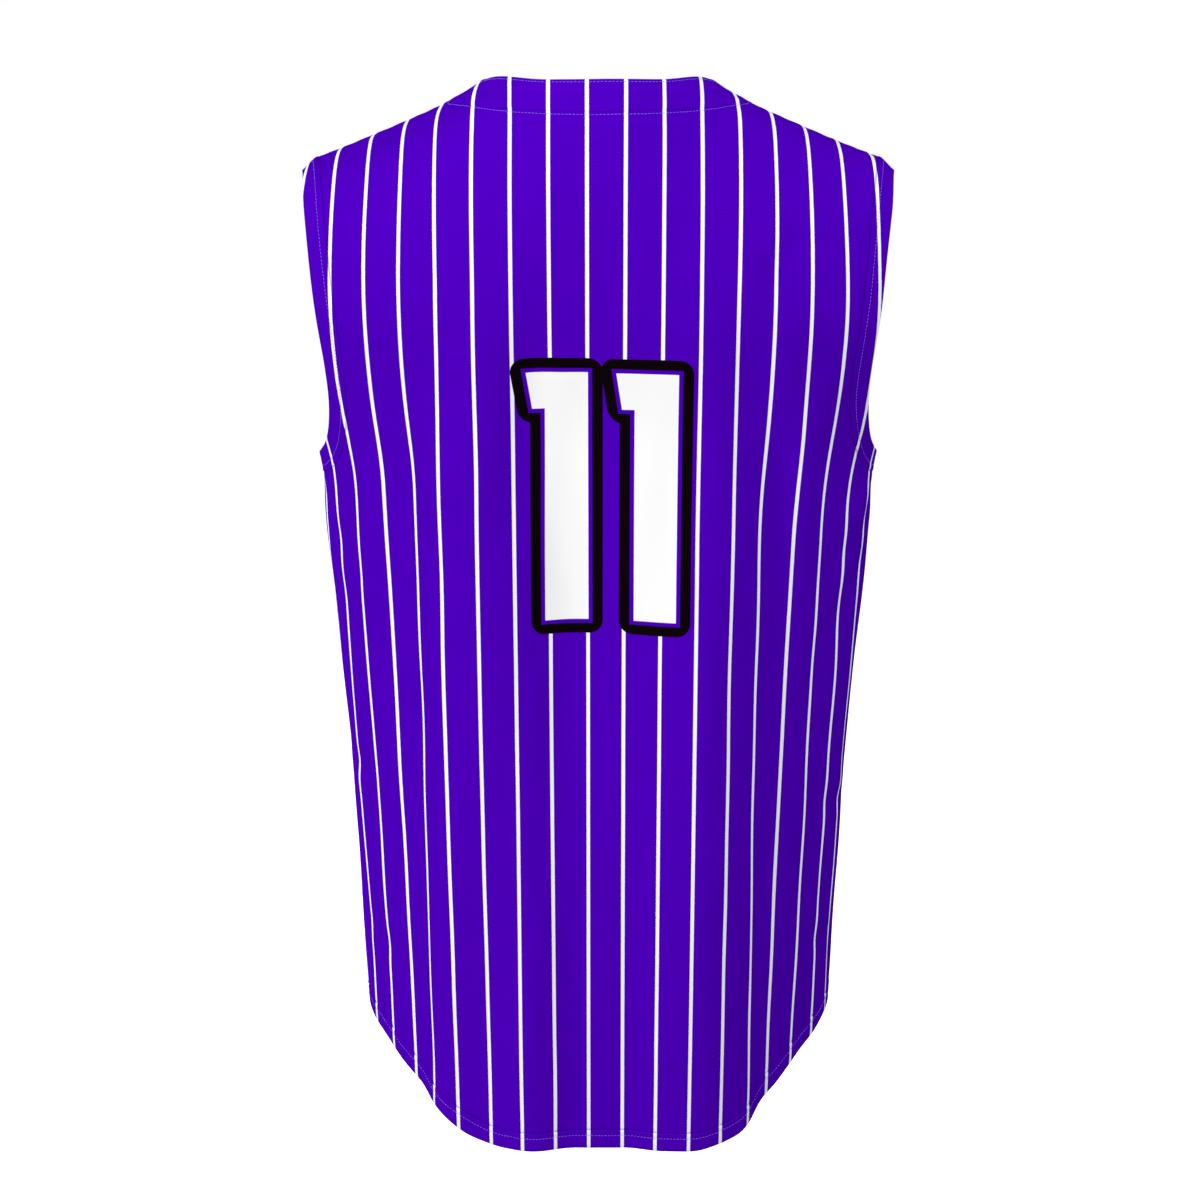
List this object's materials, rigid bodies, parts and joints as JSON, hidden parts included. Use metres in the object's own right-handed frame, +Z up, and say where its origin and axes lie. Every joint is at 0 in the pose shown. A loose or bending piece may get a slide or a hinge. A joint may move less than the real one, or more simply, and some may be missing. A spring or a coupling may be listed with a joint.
{
  "type": "baseball vest",
  "caption": "Sleeveless button-front baseball vest in its worn hollow form, with V neck band, placket, open armholes and a shirt-tail hem.",
  "frame": {"origin": "middle of the neck opening, level with the two shoulder-neck points, where the wearer's shoulders hold the vest", "axes": "+Z up, the wearer's front faces -Y, the wearer's left is +X"},
  "size_m": [0.414, 0.241, 0.7952],
  "materials": {
    "knit": "vivid purple polyester mesh knit with white pinstripes",
    "band_knit": "the same knit, doubled",
    "button": "pearly white polyester resin"
  },
  "bodies": {
    "root": {"back": "knit", "front_left": "knit", "front_right": "knit", "neck_band": "band_knit", "placket": "band_knit", "button_1": "button", "button_2": "button", "button_3": "button", "button_4": "button", "button_5": "button", "button_6": "button"}
  },
  "joints": []
}
